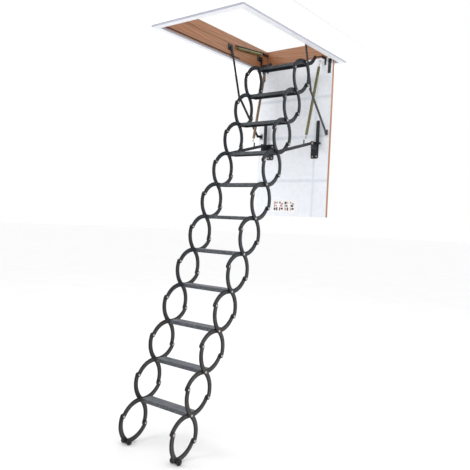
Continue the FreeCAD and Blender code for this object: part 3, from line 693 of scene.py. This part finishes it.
def screw(shape, place, axis, radius):
    """Pan head with a cross recess drawn as a sunken star."""
    axis = Vector(axis).normalized()
    across = axis.orthogonal().normalized()
    other = axis.cross(across)
    place = Vector(place)

    def ring(share, lift):
        points = []
        for step in range(SCREW_STEPS):
            turn = 2 * math.pi * step / SCREW_STEPS
            reach = radius * share(step)
            points.append(place + axis * (SCREW_HEIGHT * lift) + across * (reach * math.cos(turn))
                          + other * (reach * math.sin(turn)))
        return ring_of(shape, points)

    def star(step):
        return 0.55 if step % 6 == 0 else 0.34 if step % 6 in (1, 5) else 0.16

    skin_over(shape, [ring(lambda step: 1.0, -0.6), ring(lambda step: 1.0, 0.25),
                      ring(lambda step: 0.88, 0.7), ring(lambda step: 0.68, 0.93),
                      ring(star, 1.0), ring(lambda step: star(step) * 0.72, 0.45)])


def hexagon(shape, place, axis, across_flats, height):
    """Hexagon head with a washer face and a chamfered top."""
    corner = across_flats / math.sqrt(3)
    turned_part(shape, place, axis, [(corner * 1.12, 0.0), (corner * 1.12, height * 0.12)], 24)
    turned_part(shape, place, axis,
                [(corner, height * 0.12), (corner, height * 0.86), (corner * 0.86, height)], 6)


def screws_piece(name, body, points, axis, finish=ZINC, radius=SCREW_RADIUS):
    """One piece of all the screws of a kind; `axis` is a direction or a function of the place."""
    def build(shape):
        for place in points:
            direction = axis(place) if callable(axis) else axis
            screw(shape, place, direction, radius)

    return mesh_piece(name, body, [finish], build)


def mirrored(points):
    """Each point on both sides of the ladder."""
    return [(side * x, y, z) for x, y, z in points for side in SIDES]


def inwards(place):
    """Direction from a side board to the middle of the hatch."""
    return (-1 if place[0] > 0 else 1, 0, 0)


def outwards(place):
    """Direction from a side board away from the hatch."""
    return (1 if place[0] > 0 else -1, 0, 0)


FRONT = LID_FACE - PLATE
WALL_PLATE_X = 0.347
BOARD_SCREW_X = 0.3695
screws_piece("hinge_strap_screws", "lid",
             mirrored([(0.319, FRONT, z) for z in (-0.104, -0.080, -0.056, -0.032)]), (0, -1, 0),
             finish=DARK_ZINC)
screws_piece("strut_bracket_screws", "lid",
             mirrored([(0.200, FRONT, -0.786), (0.200, FRONT, -0.690), (0.238, FRONT, -0.786)]), (0, -1, 0),
             radius=0.0055)
screws_piece("anchor_screws", "lid", mirrored([(0.2765, FRONT, z) for z in (-0.038, 0.004)]), (0, -1, 0),
             radius=0.0036)
screws_piece("stay_bracket_screws", "lid",
             mirrored([(0.3175, FRONT, z) for z in (-0.610, -0.580)]), (0, -1, 0))
screws_piece("wall_bracket_screws", "hatch_frame",
             mirrored([(WALL_PLATE_X, y, z) for y, z in ((0.099, 0.054), (0.099, 0.086), (0.145, 0.087))]),
             inwards, finish=DARK_ZINC)
screws_piece("hinge_plate_screws", "hatch_frame",
             mirrored([(WALL_PLATE_X, y, z) for y in (0.514, 0.586) for z in (0.068, 0.092)]),
             inwards)
screws_piece("board_corner_screws", "hatch_frame",
             mirrored([(BOARD_SCREW_X, y, z) for y in (-0.670, 0.670) for z in (0.035, 0.085, 0.135)]),
             outwards, finish=AMBER_ZINC)


FOOT_Y, FOOT_Z = crossing(CROSSINGS)
BOLT_OUTER_X, BOLT_INNER_X = 0.2570, 0.1870
BOLT_FLATS, BOLT_HEIGHT = 0.012, 0.0055
NUT_PLACE = (0.2454, 0.485, -0.692)
NUT_FLATS, NUT_HEIGHT = 0.015, 0.006


def build_foot_bolts(shape):
    for side in SIDES:
        for reach, way in ((BOLT_OUTER_X, side), (BOLT_INNER_X, -side)):
            hexagon(shape, (side * reach, FOOT_Y, FOOT_Z), (way, 0, 0), BOLT_FLATS, BOLT_HEIGHT)


mesh_piece("foot_bolts", f"outer_{CROSSINGS}", [DARK_ZINC], build_foot_bolts)


def build_pivot_nuts(shape):
    for side in SIDES:
        hexagon(shape, on_side(NUT_PLACE, side), (side, 0, 0), NUT_FLATS, NUT_HEIGHT)


mesh_piece("strut_pivot_nuts", "lid", [ZINC], build_pivot_nuts)


# ---------------------------------------------------------------- label on the lid
def plate_of(shape, low, high, material):
    """Thin rounded rectangle on the lid's face; corners are (x, z), in front of y = low[1]."""
    (x0, y0, z0), (x1, y1, z1) = low, high
    soft = min(x1 - x0, z1 - z0) * 0.12
    outline = []
    for corner_x, corner_z, start in ((x1 - soft, z1 - soft, 0), (x0 + soft, z1 - soft, 90),
                                      (x0 + soft, z0 + soft, 180), (x1 - soft, z0 + soft, 270)):
        for step in range(5):
            turn = math.radians(start + 22.5 * step)
            outline.append((corner_x + soft * math.cos(turn), corner_z + soft * math.sin(turn)))
    back = ring_of(shape, [(x, y1, z) for x, z in outline])
    front = ring_of(shape, [(x, y0, z) for x, z in outline])
    bridge(shape, back, front, material)
    cap(shape, front, material)
    cap(shape, back, material)


LABEL_X, LABEL_Z = -0.160, -1.243
LABEL_STEP = 0.054
LABEL_PANELS, PANEL_HEIGHT = 4, 0.084
PAPER_SIDE, PAPER_END, PAPER_RIM = 0.006, 0.002, 0.008
PAPER_THICKNESS = 0.0004
INK_BACK, INK_FRONT = 0.0003, 0.0007
# blocks of the odd and the even panels, as (low corner, high corner) in a panel
LABEL_BLOCKS = (
    (((0.003, 0.060), (0.024, 0.080)), ((0.029, 0.064), (0.040, 0.078)), ((0.006, 0.034), (0.013, 0.056)),
     ((0.018, 0.038), (0.034, 0.052)), ((0.004, 0.006), (0.022, 0.028)), ((0.028, 0.004), (0.041, 0.032))),
    (((0.004, 0.064), (0.017, 0.081)), ((0.022, 0.058), (0.042, 0.066)), ((0.012, 0.036), (0.036, 0.054)),
     ((0.004, 0.004), (0.014, 0.030)), ((0.020, 0.012), (0.042, 0.028))),
)


def build_label(shape):
    paper_end = LABEL_X + LABEL_PANELS * LABEL_STEP + PAPER_END
    plate_of(shape, (LABEL_X - PAPER_SIDE, LID_FACE - PAPER_THICKNESS, LABEL_Z - PAPER_RIM),
             (paper_end, LID_FACE, LABEL_Z + PANEL_HEIGHT + PAPER_RIM), 0)
    for panel in range(LABEL_PANELS):
        left = LABEL_X + panel * LABEL_STEP
        for number, (low, high) in enumerate(LABEL_BLOCKS[panel % 2]):
            tint = 2 if (number + panel) % 3 == 0 else 1
            plate_of(shape, (left + low[0], LID_FACE - INK_FRONT, LABEL_Z + low[1]),
                     (left + high[0], LID_FACE - INK_BACK, LABEL_Z + high[1]), tint)


mesh_piece("lid_label", "lid", [LABEL_PAPER, LABEL_INK, LABEL_TINT], build_label)

# ---------------------------------------------------------------- floor, light and camera
FOOT_DROP = 0.0202
FLOOR_Z = FOOT_Z - FOOT_DROP
FLOOR_RADII = (0.5, 2.0, 8.0, 60.0)


def floor_mesh(name):
    """Round floor in rings, with one face in the middle."""
    mesh = bpy.data.meshes.new(name)
    shape = bmesh.new()
    rings = []
    for radius in FLOOR_RADII:
        rings.append(ring_of(shape, [(radius * math.cos(turn), radius * math.sin(turn), FLOOR_Z)
                                     for turn in (math.pi * step / 24 for step in range(48))]))
    for first, second in zip(rings, rings[1:]):
        bridge(shape, first, second)
    cap(shape, rings[0])
    shape.to_mesh(mesh)
    shape.free()
    return mesh


floor = bpy.data.objects.new("studio_floor", floor_mesh("studio_floor"))
floor.data.materials.append(studio_floor("studio_floor").material)
bpy.context.scene.collection.objects.link(floor)

CEILING_BOTTOM, CEILING_TOP = 0.0002, 0.0125
CEILING_HOLE_X, CEILING_HOLE_Y = 0.3705, 0.6805
CEILING_X, CEILING_FRONT, CEILING_BACK = 0.66, -1.03, 0.98


def ceiling_mesh(name):
    """Piece of ceiling round the hatch frame: a plain slab with the opening left out."""
    mesh = bpy.data.meshes.new(name)
    shape = bmesh.new()

    def rectangle(reach, front, back):
        return [(-reach, front), (reach, front), (reach, back), (-reach, back)]

    inner = rectangle(CEILING_HOLE_X, -CEILING_HOLE_Y, CEILING_HOLE_Y)
    outer = rectangle(CEILING_X, CEILING_FRONT, CEILING_BACK)
    rings = [ring_of(shape, [(x, y, z) for x, y in outline])
             for outline, z in ((inner, CEILING_BOTTOM), (outer, CEILING_BOTTOM), (outer, CEILING_TOP),
                                (inner, CEILING_TOP))]
    # the underside takes material 0, the glowing face
    for number in range(4):
        bridge(shape, rings[number], rings[(number + 1) % 4], 0 if number == 0 else 1)
    bmesh.ops.recalc_face_normals(shape, faces=shape.faces)
    shape.to_mesh(mesh)
    shape.free()
    return mesh


ceiling = bpy.data.objects.new("studio_ceiling", ceiling_mesh("studio_ceiling"))
GLOWING_CEILING_FACE = laminate("ceiling_face_glowing", linear(250, 250, 250), linear(253, 253, 253))
# painted light: the ceiling's underside glows a little, so it shows as even white
GLOWING_CEILING_FACE.shader.inputs["Emission Color"].default_value = (1, 1, 1, 1)
GLOWING_CEILING_FACE.shader.inputs["Emission Strength"].default_value = 0.35
CEILING_BOARD = laminate("ceiling_board", linear(226, 226, 224), linear(234, 234, 232))
for board_finish in (GLOWING_CEILING_FACE, CEILING_BOARD):
    ceiling.data.materials.append(board_finish.material)
bpy.context.scene.collection.objects.link(ceiling)

world = bpy.data.worlds.new("studio_world")
world.use_nodes = True
backdrop = world.node_tree.nodes["Background"]
backdrop.inputs["Color"].default_value = (1, 1, 1, 1)
backdrop.inputs["Strength"].default_value = 1.0
bpy.context.scene.world = world
bpy.context.scene.view_settings.view_transform = "Standard"


def soft_light(name, place, aim, size, power):
    """Round area light that points at `aim`."""
    data = bpy.data.lights.new(name, "AREA")
    data.shape = "DISK"
    data.size = size
    data.energy = power
    light = bpy.data.objects.new(name, data)
    light.location = place
    light.rotation_euler = (Vector(aim) - Vector(place)).to_track_quat("-Z", "Y").to_euler()
    bpy.context.scene.collection.objects.link(light)


MIDDLE = (0.0, 0.0, -1.3)
soft_light("key_light", (-2.6, -3.6, 1.8), MIDDLE, 2.4, 55)
soft_light("fill_light", (4.2, -1.8, -0.2), MIDDLE, 3.0, 15)
soft_light("rim_light", (1.0, 4.0, 1.6), MIDDLE, 2.4, 30)

CAMERA_PLACE = (2.43621, -3.39101, -1.32779)
CAMERA_RIGHT = (0.79633, 0.60330, 0.04356)
CAMERA_UP = (-0.05269, -0.00256, 0.99861)
CAMERA_BACK = (0.60257, -0.79751, 0.02975)
camera_data = bpy.data.cameras.new("camera")
camera_data.sensor_width = 36.0
camera_data.lens = 41.67
camera_data.clip_end = 200.0
camera = bpy.data.objects.new("camera", camera_data)
turn = Matrix((CAMERA_RIGHT, CAMERA_UP, CAMERA_BACK)).transposed().to_quaternion()
camera.matrix_world = Matrix.Translation(CAMERA_PLACE) @ turn.to_matrix().to_4x4()
bpy.context.scene.collection.objects.link(camera)
bpy.context.scene.camera = camera
